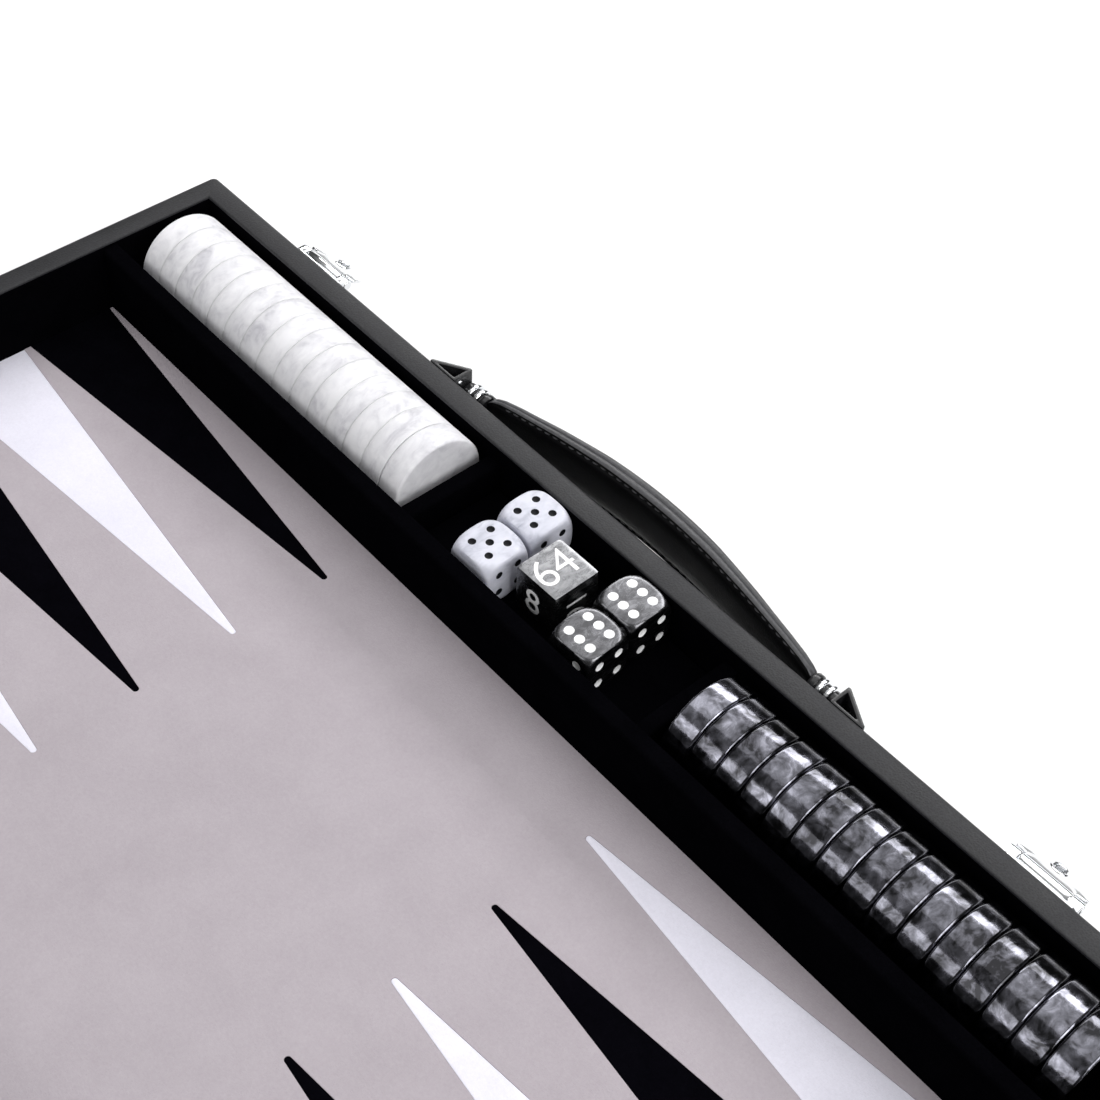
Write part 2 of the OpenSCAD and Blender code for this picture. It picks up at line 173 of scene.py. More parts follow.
def roughness(nt, b, fac, lo, hi, span):
    nt.links.new(remap(nt, fac, lo, hi, *span), b.inputs["Roughness"])


# ---------------------------------------------------------------- materials
def leatherette(name, dark, light, grain=1500.0, rough=(0.42, 0.62), depth=0.00012, spec=0.5):
    m, nt, b = material(name, 0.5, Specular_IOR_Level=spec)
    v = coords(nt)
    pebble = pebbles(nt, v, grain, 0.35)
    broad = noise(nt, v, 90, 5, 0.6)
    fine = noise(nt, v, grain * 2.2, 2)
    colour(nt, b, mixed(nt, (broad, 0.65), (pebble, 0.55)), [(0.25, dark), (0.85, light)])
    roughness(nt, b, mixed(nt, (broad, 1), (fine, 0.3)), 0.4, 0.95, rough)
    bump(nt, b, mixed(nt, (pebble, 1), (fine, 0.35)), 0.5, depth)
    return m


def felt(name, dark, light, mottling=70.0, sheen=0.0, depth=0.0003, spec=0.1):
    """short fibres in two crossed directions over soft clouds"""
    m, nt, b = material(name, 0.95, Specular_IOR_Level=spec, Sheen_Weight=sheen, Sheen_Roughness=0.6)
    v = coords(nt)
    cloud = noise(nt, v, mottling, 6, 0.62)
    speck = noise(nt, v, 900, 3, 0.7)
    hair = math_node(nt, "MAXIMUM", *(noise(nt, coords(nt, stretch), 2600, 3, 0.6, 0.6)
                                      for stretch in ((1, 0.35, 1), (0.35, 1, 1))))
    colour(nt, b, mixed(nt, (cloud, 0.45), (speck, 0.3), (hair, 0.35)), [(0.36, dark), (0.74, light)])
    roughness(nt, b, hair, 0.3, 0.8, (0.99, 0.86))
    bump(nt, b, mixed(nt, (hair, 1), (speck, 0.6)), 0.45, depth)
    return m


def seed_value(nt):
    """the piece's own number, which seeded() writes on its mesh"""
    a = nt.nodes.new("ShaderNodeAttribute")
    a.attribute_name = "seed"
    return a.outputs["Fac"]


def pearl_white(name, low, high, scale, streak, rough=(0.36, 0.55), spec=0.22, glow=0.5):
    """milky pearl: soft clouds and folded streaks under a satin skin, light travels inside"""
    m, nt, b = material(name, 0.4, Specular_IOR_Level=spec, Subsurface_Weight=glow, Subsurface_Scale=0.0045)
    b.inputs["Subsurface Radius"].default_value = (1.0, 0.98, 1.0)
    w = seed_value(nt)
    v = coords(nt, streak)
    cloud = noise(nt, v, scale, 3, 0.5, 1.0, w)
    fold = noise(nt, v, scale * 2.2, 3, 0.5, 1.8, w)
    speck = noise(nt, coords(nt), scale * 14, 3, 0.6, 0.4, w)
    middle = tuple((x + 2 * y) / 3 for x, y in zip(low, high))
    colour(nt, b, mixed(nt, (cloud, 0.55), (fold, 0.39), (speck, 0.06)),
           [(0.33, low), (0.47, middle), (0.60, high)])
    roughness(nt, b, fold, 0.3, 0.7, rough)
    bump(nt, b, noise(nt, coords(nt), 300, 3, 0.5), 0.1, 0.0002)
    return m


def pearl_black(name, low, high, scale, streak, rough, coat, spread=(0.40, 0.62)):
    """black pearl: mica flakes mirror the light by uneven amounts, nothing else is bright"""
    m, nt, b = material(name, 0.15, 1.0, Coat_Weight=coat, Coat_Roughness=0.06)
    w = seed_value(nt)
    v = coords(nt, streak)
    patch = noise(nt, v, scale, 3, 0.5, 0.9, w)
    fold = noise(nt, v, scale * 2.6, 3, 0.55, 1.3, w)
    flake = noise(nt, coords(nt), scale * 22, 3, 0.65, 0.5, w)
    middle = tuple(0.62 * x + 0.38 * y for x, y in zip(low, high))
    colour(nt, b, mixed(nt, (patch, 0.50), (fold, 0.44), (flake, 0.06)),
           [(spread[0], low), (sum(spread) / 2, middle), (spread[1], high)])
    roughness(nt, b, mixed(nt, (fold, 1), (flake, 0.5)), 0.5, 1.05, rough)
    bump(nt, b, mixed(nt, (noise(nt, coords(nt), 180, 3, 0.5), 1), (fold, 0.3)), 0.3, 0.0004)
    return m


def metal(name, dark, light, rough, scratch=(1, 1, 1), scale=500.0, depth=0.00003, level=1.0):
    m, nt, b = material(name, rough[0], level)
    v = coords(nt, scratch)
    rub = noise(nt, v, scale, 6, 0.7)
    smear = noise(nt, coords(nt), 60, 4, 0.55)
    colour(nt, b, mixed(nt, (rub, 0.6), (smear, 0.4)), [(0.3, dark), (0.7, light)])
    roughness(nt, b, mixed(nt, (rub, 1), (smear, 1)), 0.7, 1.3, rough)
    bump(nt, b, rub, 0.25, depth)
    return m


def paint(name, dark, light, rough=0.4, spec=0.5):
    m, nt, b = material(name, rough, Specular_IOR_Level=spec)
    n = noise(nt, coords(nt), 900, 4, 0.6)
    colour(nt, b, n, [(0.3, dark), (0.7, light)])
    roughness(nt, b, n, 0.3, 0.7, (rough - 0.08, rough + 0.1))
    bump(nt, b, n, 0.2, 0.00005)
    return m


def board(name):
    m, nt, b = material(name, 0.7)
    grain = noise(nt, coords(nt, (0.06, 1, 1)), 420, 6, 0.6, 1.2)
    pore = noise(nt, coords(nt, (0.15, 1, 1)), 1800, 3)
    colour(nt, b, mixed(nt, (grain, 0.75), (pore, 0.25)),
           [(0.3, (0.30, 0.18, 0.09)), (0.7, (0.58, 0.41, 0.25))])
    roughness(nt, b, pore, 0.3, 0.7, (0.6, 0.8))
    bump(nt, b, pore, 0.3, 0.0001)
    return m


LEATHER = leatherette("leatherette_black", (0.007, 0.007, 0.008), (0.022, 0.022, 0.025), spec=0.33)
# strap leather: black, and darker still than the case leather as painted shade for the strap's shaded inner
# side
STRAP_BLACK_AND_SHADE = leatherette("leatherette_strap_black_and_painted_shade", (0.0008, 0.0008, 0.001), (0.003, 0.003, 0.0036),
                    1700, (0.34, 0.55), 0.0001, 0.12)
# strap edges: a lighter colour than the strap, a painted highlight for its lit top edge, laid on its top and
# bottom edges alike
STRAP_EDGE_HIGHLIGHT = leatherette("strap_edge_black", (0.016, 0.016, 0.018), (0.05, 0.05, 0.055),
                         900, (0.3, 0.5), 0.00006)
BLACK_FELT = felt("felt_black", (0.0006, 0.0006, 0.0009), (0.0019, 0.0018, 0.0026), depth=0.0002, spec=0.0)
GREY_FELT = felt("felt_warm_grey", (0.355, 0.318, 0.345), (0.43, 0.39, 0.42), mottling=45, sheen=0.05)
DARK_FELT = felt("felt_point_black", (0.0009, 0.0008, 0.0014), (0.0024, 0.0022, 0.0036),
                 depth=0.0002, spec=0.0)
WHITE_FELT = felt("felt_point_white", (0.68, 0.665, 0.75), (0.80, 0.785, 0.88), mottling=45, sheen=0.05)
PEARL_LIGHT = pearl_white("pearl_white", (0.50, 0.493, 0.53), (0.80, 0.795, 0.82), 75, (1.15, 0.8, 0.8))
PEARL_DARK = pearl_black("pearl_black", (0.010, 0.010, 0.013), (0.34, 0.34, 0.40),
                         75, (1.1, 1.0, 1.0), (0.09, 0.2), 0.5, (0.42, 0.65))
DIE_LIGHT = pearl_white("die_white", (0.37, 0.38, 0.45), (0.64, 0.645, 0.72),
                        110, (1, 0.6, 1), (0.25, 0.42), 0.35, 0.3)
DIE_DARK = pearl_black("die_grey", (0.08, 0.08, 0.085), (0.22, 0.22, 0.235),
                       150, (1, 0.5, 1), (0.2, 0.34), 0.3)
CUBE_GREY = pearl_black("cube_grey", (0.17, 0.172, 0.18), (0.34, 0.342, 0.355),
                        190, (1, 0.5, 1), (0.22, 0.36), 0.3)
PIP_BLACK = paint("pip_black", (0.002, 0.002, 0.003), (0.008, 0.008, 0.010), 0.5, 0.12)
PIP_WHITE = paint("pip_white", (0.90, 0.90, 0.91), (0.98, 0.98, 0.98))
CHROME = metal("chrome", (0.72, 0.73, 0.75), (0.90, 0.91, 0.92), (0.05, 0.16))
NICKEL = metal("brushed_nickel", (0.40, 0.41, 0.42), (0.66, 0.67, 0.69), (0.22, 0.42),
               (0.03, 1, 1), 2600, 0.00006)
# black lacquer for the brackets and the cores of the handle fittings; in the hinge screws' cross slots the
# same black is painted shade
LACQUER_AND_SLOT_SHADE = metal("black_lacquer_and_slot_shade", (0.004, 0.004, 0.0045), (0.016, 0.016, 0.018), (0.18, 0.32),
                scale=300, level=0.0)
THREAD = paint("thread_dark", (0.03, 0.03, 0.033), (0.09, 0.09, 0.097), 0.6)
WOOD = board("raw_board")


# ---------------------------------------------------------------- mesh helpers (all in mm)
class Piece:
    def __init__(self):
        self.v, self.f, self.m = [], [], []

    def add(self, verts, faces, mat=0, xf=None):
        k = len(self.v)
        self.v += [tuple(xf @ Vector(p)) if xf is not None else tuple(p) for p in verts]
        self.f += [tuple(i + k for i in f) for f in faces]
        self.m += [mat] * len(faces)
        return self

    def loops(self, rings, mat=0, closed=False, caps=True, xf=None):
        """joins rings of equally many points; closed joins the last ring to the first"""
        n = len(rings[0])
        v = [p for r in rings for p in r]
        f = []
        for k in range(len(rings) if closed else len(rings) - 1):
            a, b = k * n, ((k + 1) % len(rings)) * n
            f += [(a + i, a + (i + 1) % n, b + (i + 1) % n, b + i) for i in range(n)]
        if caps and not closed:
            f.append(tuple(reversed(range(n))))
            f.append(tuple(range((len(rings) - 1) * n, len(rings) * n)))
        return self.add(v, f, mat, xf)

    def object(self, name, mats, angle=35.0):
        me = bpy.data.meshes.new(name)
        me.from_pydata([(x * MM, y * MM, z * MM) for x, y, z in self.v], [], self.f)
        for m in mats:
            me.materials.append(m)
        me.polygons.foreach_set("material_index", self.m)
        tidy_mesh(me, angle)
        o = bpy.data.objects.new(name, me)
        bpy.context.scene.collection.objects.link(o)
        return o


def tidy_mesh(me, angle):
    for key in ("custom_normal", "sharp_edge", "sharp_face"):
        if key in me.attributes:
            me.attributes.remove(me.attributes[key])
    bm = bmesh.new()
    bm.from_mesh(me)
    bmesh.ops.remove_doubles(bm, verts=bm.verts, dist=2e-7)
    bmesh.ops.recalc_face_normals(bm, faces=bm.faces)
    bm.to_mesh(me)
    bm.free()
    me.polygons.foreach_set("use_smooth", [True] * len(me.polygons))
    me.set_sharp_from_angle(angle=math.radians(angle))
    me.update()


def settle(o, angle=35.0):
    """applies an object's modifiers"""
    dg = bpy.context.evaluated_depsgraph_get()
    me = bpy.data.meshes.new_from_object(o.evaluated_get(dg), preserve_all_data_layers=True, depsgraph=dg)
    o.modifiers.clear()
    old = o.data
    o.data = me
    me.name = o.name
    bpy.data.meshes.remove(old)
    tidy_mesh(me, angle)
    return o


def carve(o, cutter, angle=35.0):
    """takes the cutter's solids out of o"""
    mod = o.modifiers.new("cut", "BOOLEAN")
    mod.operation, mod.solver, mod.object = "DIFFERENCE", "EXACT", cutter
    mod.material_mode = "TRANSFER"
    bpy.context.view_layer.update()
    settle(o, angle)
    bpy.data.objects.remove(cutter)
    return o


def rounded_box(lo, hi, r, seg=3, pick=None):
    """(verts, faces) of a box with rounded edges; pick(a, b) chooses edges by their end points"""
    bm = bmesh.new()
    bmesh.ops.create_cube(bm, size=1)
    c, s = (Vector(lo) + Vector(hi)) / 2, Vector(hi) - Vector(lo)
    for v in bm.verts:
        v.co = Vector([c[k] + v.co[k] * s[k] for k in range(3)])
    edges = [e for e in bm.edges if pick is None or pick(e.verts[0].co, e.verts[1].co)]
    bmesh.ops.bevel(bm, geom=edges, offset=r, offset_type="OFFSET", segments=seg, profile=0.5, affect="EDGES")
    bm.verts.ensure_lookup_table()
    v = [tuple(x.co) for x in bm.verts]
    f = [tuple(x.index for x in p.verts) for p in bm.faces]
    bm.free()
    return v, f


def no_edge(a, b):
    return False


def prism(outline, z0, z1, holes=(), bevel=0.0, seg=2):
    """(verts, faces) of an outline raised from z0 to z1, its rims rounded by bevel; one hole at most"""
    p = Piece()

    def rims(line, s):
        turns = [math.pi / 2 * t / seg for t in range(seg + 1)]
        steps = [(1 - math.sin(a), z0 + bevel * (1 - math.cos(a))) for a in turns] \
            + [(1 - math.cos(a), z1 - bevel * (1 - math.sin(a))) for a in turns]
        return [[(x, y, z) for x, y in inset(line, s * bevel * k)] for k, z in steps]
    rings = rims(outline, 1)
    if holes:
        rings += rims(holes[0], -1)[::-1]
    p.loops(rings, closed=bool(holes))
    return p.v, p.f


def resample(line, n):
    """n points evenly along a closed outline"""
    d = [0.0]
    for k in range(len(line)):
        d.append(d[-1] + (Vector(line[(k + 1) % len(line)]) - Vector(line[k])).length)
    out = []
    for j in range(n):
        t = d[-1] * j / n
        k = max(i for i in range(len(line)) if d[i] <= t + 1e-9)
        a, b = Vector(line[k]), Vector(line[(k + 1) % len(line)])
        out.append(tuple(a + (b - a) * ((t - d[k]) / max(d[k + 1] - d[k], 1e-9))))
    return out


def inset(line, d):
    """an outline (anticlockwise) moved inwards by d"""
    n, out = len(line), []
    for k in range(n):
        a, b, c = Vector(line[k - 1]), Vector(line[k]), Vector(line[(k + 1) % n])
        u, w = (b - a).normalized(), (c - b).normalized()
        nu, nw = Vector((-u.y, u.x)), Vector((-w.y, w.x))
        m = nu + nw
        m = m / max(m.dot(m) / 2, 0.25) if m.length > 1e-6 else nu
        out.append((b.x + m.x * d, b.y + m.y * d))
    return out


def fillet(points, r, seg=4):
    """rounds the corners of an anticlockwise outline; r is one radius or one for each corner"""
    n, out = len(points), []
    rs = [r] * n if isinstance(r, (int, float)) else list(r)
    for k in range(n):
        a, b, c = Vector(points[k - 1]), Vector(points[k]), Vector(points[(k + 1) % n])
        u, w = (a - b).normalized(), (c - b).normalized()
        half = math.acos(max(-1, min(1, u.dot(w)))) / 2
        cut = rs[k] / math.tan(half)
        p, q = b + u * cut, b + w * cut
        centre = b + (u + w).normalized() * (rs[k] / math.sin(half))
        a0 = math.atan2((p - centre).y, (p - centre).x)
        turn = (math.atan2((q - centre).y, (q - centre).x) - a0 + math.pi) % (2 * math.pi) - math.pi
        for t in range(seg + 1):
            x, y = polar(rs[k], a0 + turn * t / seg)
            out.append((centre.x + x, centre.y + y))
    return out


def rect(hx, hy, r, seg=5, cy=0.0):
    return fillet([(-hx, cy - hy), (hx, cy - hy), (hx, cy + hy), (-hx, cy + hy)], r, seg)


def lathe(profile, n):
    """(verts, faces) of a (radius, height) profile turned about Z, closed where the radius is 0"""
    v, f, rings = [], [], []
    for r, z in profile:
        if r < 1e-6:
            rings.append([len(v)])
            v.append((0, 0, z))
        else:
            rings.append(list(range(len(v), len(v) + n)))
            v += [(*polar(r, 2 * math.pi * k / n), z) for k in range(n)]
    for a, b in zip(rings, rings[1:]):
        for k in range(n):
            if len(a) == 1 and len(b) == 1:
                continue
            if len(a) == 1:
                f.append((a[0], b[(k + 1) % n], b[k]))
            elif len(b) == 1:
                f.append((a[k], a[(k + 1) % n], b[0]))
            else:
                f.append((a[k], a[(k + 1) % n], b[(k + 1) % n], b[k]))
    return v, f


def arc(cx, cy, r, a0, a1, seg=4):
    return [(cx + r * math.cos(a), cy + r * math.sin(a)) for a in sweep(a0, a1, seg)]


def button(r, h, dome):
    """a round head with a soft edge, standing on z = 0"""
    e = min(h, r) * 0.45
    edge = arc(r - e, h - e, e, 15, 80)
    return lathe([(0, 0), (r, 0), (r, h - e)] + edge + [(r * 0.5, h + dome * 0.7), (0, h + dome)], 24)


def stitch(p, a, b, up, r):
    """one sunken thread stitch from a to b in the piece's third material; up is the surface normal"""
    a, b, up = Vector(a), Vector(b), Vector(up).normalized()
    d = b - a
    side = d.normalized().cross(up)
    rings = []
    for t, k, rise in ((0.0, 0.25, -0.22), (0.08, 0.8, -0.02), (0.3, 1.0, 0.12), (0.5, 1.0, 0.16),
                       (0.7, 1.0, 0.12), (0.92, 0.8, -0.02), (1.0, 0.25, -0.22)):
        c = a + d * t + up * (rise * r / 0.26)
        rings.append([tuple(c + (side * math.cos(x) + up * math.sin(x)) * r * k)
                      for x in (2 * math.pi * j / 6 for j in range(6))])
    p.loops(rings, 2)


def at(x, y, z):
    return Matrix.Translation((x, y, z))


def spin(degrees, axis):
    return Matrix.Rotation(math.radians(degrees), 4, axis)


def polar(r, a):
    return r * math.cos(a), r * math.sin(a)


def sweep(a0, a1, n):
    """n + 1 angles in radians from a0 to a1 degrees"""
    return [math.radians(a0 + (a1 - a0) * t / n) for t in range(n + 1)]


def repaint(node, mat):
    data = NODES[node].data
    data.materials.clear()
    data.materials.append(mat)


AS_BASE = Matrix.Identity(4)
AS_LID = at(0, 2 * HINGE_Y, 0) @ spin(180, "Z")


def place(o, body, slot, *replaces):
    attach(o, body)
    if replaces:
        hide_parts(*replaces)
    return o


# ---------------------------------------------------------------- case halves
def case_loop(d, z):
    """outline of a case half, d inside its outer face"""
    return [(x, y, z) for x, y in rect(HX - d, HY - d, max(2.4 - d, 0.25), 6)]


for half, xf in (("base", AS_BASE), ("lid", AS_LID)):
    # one closed skin: underside, sides, rim and its turned-in edge
    p = Piece()
    prof = [(2.0, 0.0)] + arc(1.6, 1.6, 1.6, 270, 180)[1:] + arc(1.4, RIM - 1.4, 1.4, 180, 90) \
        + [(4.5, RIM)] + arc(8.3, RIM - 0.7, 0.7, 90, 0) + [(9.0, RIM - 1.0), (1.0, RIM - 1.0), (1.0, 1.0)]
    p.loops([case_loop(d, z) for d, z in prof], xf=xf)
    skin = p.object(half + "_leatherette", [LEATHER])
    c = Piece()
    leaf_room = (-LEAF_SLOT, HINGE_Y - 1, RIM - 1), (LEAF_SLOT, -IN_Y - 0.9, RIM + 1)
    c.add(*rounded_box(*leaf_room, 0.01, 1, no_edge), 0, xf)
    carve(skin, c.object("cut_a", [LEATHER]))
    c = Piece()
    knuckle_room = [(0, -LEAF_SLOT), (2.8, -LEAF_SLOT), (2.8, LEAF_SLOT), (0, LEAF_SLOT)]
    c.add(*lathe(knuckle_room, 40), 0, xf @ at(0, HINGE_Y, RIM) @ spin(90, "Y"))
    carve(skin, c.object("cut_b", [LEATHER]))
    place(skin, half, "leatherette", half + "_cover")

    # felt lining: walls, trough floor, divider and two partitions with soft upper edges
    p = Piece()
    walls = [(8.05, FLOOR_Z), (8.05, RIM - 1.05), (8.7, RIM - 1.05),
             (WALL, RIM - 1.3), (WALL, 20.0), (WALL, FLOOR_Z)]
    p.loops([case_loop(d, z) for d, z in walls], closed=True, xf=xf)
    trough_floor = (-IN_X - 0.2, DIV_IN - 0.5, FLOOR_Z), (IN_X + 0.2, IN_Y + 0.2, TROUGH_Z)
    p.add(*rounded_box(*trough_floor, 0.01, 1, no_edge), 0, xf)

    def top_edges(a, b, z):
        return abs(a.z - z) < 1e-4 and abs(b.z - z) < 1e-4
    v, f = rounded_box((-IN_X - 0.2, DIV_OUT, FLOOR_Z), (IN_X + 0.2, DIV_IN, DIV_TOP), 1.4, 5,
                       pick=lambda a, b: top_edges(a, b, DIV_TOP) and abs(a.x - b.x) > 1)
    p.add(v, f, 0, xf)
    for s in (-1, 1):
        x0, x1 = sorted((s * PART_IN, s * PART_OUT))
        v, f = rounded_box((x0, DIV_IN - 0.3, FLOOR_Z), (x1, IN_Y + 0.2, PART_TOP), 1.4, 5,
                           pick=lambda a, b: top_edges(a, b, PART_TOP) and abs(a.y - b.y) > 1)
        p.add(v, f, 0, xf)
    place(p.object(half + "_felt_lining", [BLACK_FELT]), half, "black_felt", half + "_lining")

    # inlaid points, their upper edges slightly rolled so that a fine seam shows
    for dark in (True, False):
        p = Piece()
        for i in range(6):
            y = DIV_OUT - PITCH * (i + 0.5)
            left = (i % 2 == 0) == dark
            line = [(0.02, -POINT_BASE)] + arc(POINT_TIP, 0, 1.1, -82, 82, 8) + [(0.02, POINT_BASE)]
            v, f = prism(inset(line, 0.06), FIELD_Z - 0.98, FIELD_Z, bevel=0.22, seg=3)
            turn = at(-IN_X, y, 0) if left else at(IN_X, y, 0) @ spin(180, "Z")
            p.add(v, f, 0, xf @ turn)
        name = "points_dark" if dark else "points_light"
        place(p.object(half + "_" + name + "_felt", [DARK_FELT if dark else WHITE_FELT], 60), half,
              "dark_felt" if dark else "light_felt", half + "_" + name)

    repaint(half + "_field", GREY_FELT)
    repaint(half + "_tray", WOOD)

# felt-covered foam pad that lifts the dice
p = Piece()
v, f = rounded_box((-PART_IN + 0.05, DIV_IN + 0.05, TROUGH_Z), (PART_IN - 0.05, IN_Y - 0.05, PAD_TOP), 1.6, 4,
                   pick=lambda a, b: a.z > PAD_TOP - 1 and b.z > PAD_TOP - 1)
p.add(v, f)
pad = place(p.object("dice_pad_felt", [BLACK_FELT]), "base", "black_felt", "dice_pad")

# ---------------------------------------------------------------- hinge
CROSS = [(a * x - b * y, b * x + a * y) for a, b in ((1, 0), (0, 1), (-1, 0), (0, -1))
         for x, y in ((1.05, -0.16), (1.05, 0.16), (0.16, 0.16))]
COUNTERSINK = [(0, -0.5), (1.1, -0.5), (1.75, -0.02), (1.75, 0.4), (0, 0.4)]
SCREW_HEAD = [(0, -0.9), (1.0, -0.9), (1.66, -0.2), (1.6, -0.12), (1.2, -0.07), (0.5, -0.05), (0, -0.05)]
for node, half, xf in (("hinge_leaf_base", "base", AS_BASE), ("hinge_leaf_lid", "lid", AS_LID)):
    o = bpy.data.objects.new(node + "_brushed", NODES[node].data.copy())
    bpy.context.scene.collection.objects.link(o)
    o.data.materials.clear()
    o.data.materials.append(NICKEL)
    tidy_mesh(o.data, 30)
    sinks, heads, shaded_slots = Piece(), Piece(), Piece()
    for k, x in enumerate(SCREWS):
        spot = xf @ at(x, SCREW_Y, RIM)
        sinks.add(*lathe(COUNTERSINK, 24), 0, spot)
        heads.add(*lathe(SCREW_HEAD, 24), 0, spot)
        shaded_slots.loops([[(x, y, z) for x, y in CROSS] for z in (-0.4, 0.4)], xf=spot @ spin(23 * k, "Z"))
    carve(o, sinks.object("cut_c", [NICKEL]), 30)
    place(o, half, "steel", node)
    h = heads.object(node + "_screws", [NICKEL])
    # the carved cross slots take the black: painted shade in the recesses
    carve(h, shaded_slots.object("cut_d", [LACQUER_AND_SLOT_SHADE]), 30)
    place(h, half, "steel")
repaint("hinge_pin", NICKEL)


# ---------------------------------------------------------------- checkers
def seeded(o, seed):
    a = o.data.attributes.new("seed", "FLOAT", "POINT")
    a.data.foreach_set("value", np.full(len(o.data.vertices), seed, np.float32))
    return o


def checker(name, mat, seed, turn, e, h=4.925):
    """e is the radius of its edges and h half its thickness; turn is about its axis, in radians"""
    rim = arc(CHECKER_R - e, -h + e, e, -90, 0, 8)
    prof = [(0, -h + 0.1), (9, -h + 0.08), (14.2, -h + 0.04), (15.2, -h)] + rim + [(CHECKER_R, 0)]
    prof += [(x, -z) for x, z in reversed(prof[:-1])]
    xf = at(*mid(name)) @ Matrix.Rotation(turn, 4, "X") @ spin(90, "Y")
    return seeded(Piece().add(*lathe(prof, 96), 0, xf).object(name + "_pearl", [mat], 60), seed)


for k in range(1, 16):
    n = "light_checker_%02d" % k
    place(checker(n, PEARL_LIGHT, 2.9 * k, 0.7 * k, 0.9 if k == 15 else 0.25, 4.975), n, "pearl_light", n)
    n = "dark_checker_%02d" % k
    place(checker(n, PEARL_DARK, 3.1 * k + 20, 1.9 * k, 1.25), n, "pearl_dark", n)


# ---------------------------------------------------------------- dice and cube
SPOTS = {1: [(0, 0)], 2: [(-1, -1), (1, 1)], 3: [(-1, -1), (0, 0), (1, 1)],
         4: [(-1, -1), (-1, 1), (1, -1), (1, 1)], 5: [(-1, -1), (-1, 1), (0, 0), (1, -1), (1, 1)],
         6: [(-1, -1), (-1, 1), (0, -1), (0, 1), (1, -1), (1, 1)]}
# a die's faces in the order top, +X, +Y, -X, -Y, bottom
FACES = [Matrix.Identity(4), spin(90, "Y"), spin(-90, "X"),
         spin(-90, "Y"), spin(90, "X"), spin(180, "X")]


def soft_cube(s, corner, p_edge, p_ball, n=36):
    """(verts, faces) of a cube with soft edges cut by a ball of radius corner * s"""
    grid, vs, fs = {}, [], []

    def vert(d):
        key = tuple(round(c, 5) for c in d)
        if key not in grid:
            grid[key] = len(vs)
            a = np.abs(np.array(d))
            a = a / np.linalg.norm(a)
            u = np.array(d) / np.linalg.norm(d)
            cube = (a ** p_edge).sum() ** (1 / p_edge) / (s / 2)
            ball = 1 / (corner * s)
            r = 1 / (cube ** p_ball + ball ** p_ball) ** (1 / p_ball)
            vs.append(tuple(u * r))
        return grid[key]
    for axis in range(3):
        for sign in (-1, 1):
            def pt(i, j):
                q = [0.0, 0.0, 0.0]
                q[axis] = sign
                q[(axis + 1) % 3] = math.tan((2 * i / n - 1) * math.pi / 4)
                q[(axis + 2) % 3] = math.tan((2 * j / n - 1) * math.pi / 4)
                return vert(q)
            for i in range(n):
                for j in range(n):
                    f = (pt(i, j), pt(i + 1, j), pt(i + 1, j + 1), pt(i, j + 1))
                    fs.append(f if sign > 0 else f[::-1])
    return vs, fs


def die(name, corner, spacing, pip, numbers, mat, pip_mat, turn):
    xf = at(*mid(name)) @ spin(turn, "Z")
    o = Piece().add(*soft_cube(DIE, corner, 26, 26), 0, xf).object(name + "_pearl", [mat, pip_mat], 50)
    cut = Piece()
    r, depth = pip
    ball = lathe([(0, -r)] + arc(0, 0, r, -90, 90, 12)[1:-1] + [(0, r)], 28)
    for face, number in zip(FACES, numbers):
        along = spacing * (1.13 if number == 6 else 1)
        for x, y in SPOTS[number]:
            cut.add(*ball, 0, xf @ face @ at(x * along, y * spacing, DIE / 2 + r - depth))
    carve(o, cut.object("cut_e", [pip_mat]), 40)
    seeded(o, 7.0 + 2.3 * turn)
    return place(o, name, "die_light" if "light" in name else "die_dark", name)


die("light_die_1", 0.73, 3.95, (2.2, 0.5), (5, 4, 6, 3, 1, 2), DIE_LIGHT, PIP_BLACK, 0.8)
die("light_die_2", 0.73, 3.95, (2.2, 0.5), (5, 4, 6, 3, 1, 2), DIE_LIGHT, PIP_BLACK, 2.0)
die("dark_die_1", 0.735, 4.05, (3.2, 0.5), (6, 4, 5, 3, 2, 1), DIE_DARK, PIP_WHITE, 0.7)
die("dark_die_2", 0.735, 4.05, (3.2, 0.5), (6, 4, 5, 3, 2, 1), DIE_DARK, PIP_WHITE, 2.3)


def numeral(text, size, bold):
    cu = bpy.data.curves.new("n", "FONT")
    cu.body, cu.size, cu.align_x, cu.align_y = text, size * MM, "CENTER", "CENTER"
    cu.extrude, cu.bevel_depth, cu.resolution_u, cu.space_character = 0.06 * MM, 0.0, 6, 0.95
    cu.offset = bold * MM
    o = bpy.data.objects.new("n", cu)
    bpy.context.scene.collection.objects.link(o)
    bpy.context.view_layer.update()
    dg = bpy.context.evaluated_depsgraph_get()
    me = bpy.data.meshes.new_from_object(o.evaluated_get(dg))
    v = [tuple(x.co / MM) for x in me.vertices]
    f = [tuple(x.vertices) for x in me.polygons]
    bpy.data.objects.remove(o)
    lo = [min(p[k] for p in v) for k in (0, 1)]
    hi = [max(p[k] for p in v) for k in (0, 1)]
    cx, cy = (lo[0] + hi[0]) / 2, (lo[1] + hi[1]) / 2
    return [(x - cx, y - cy, z) for x, y, z in v], f


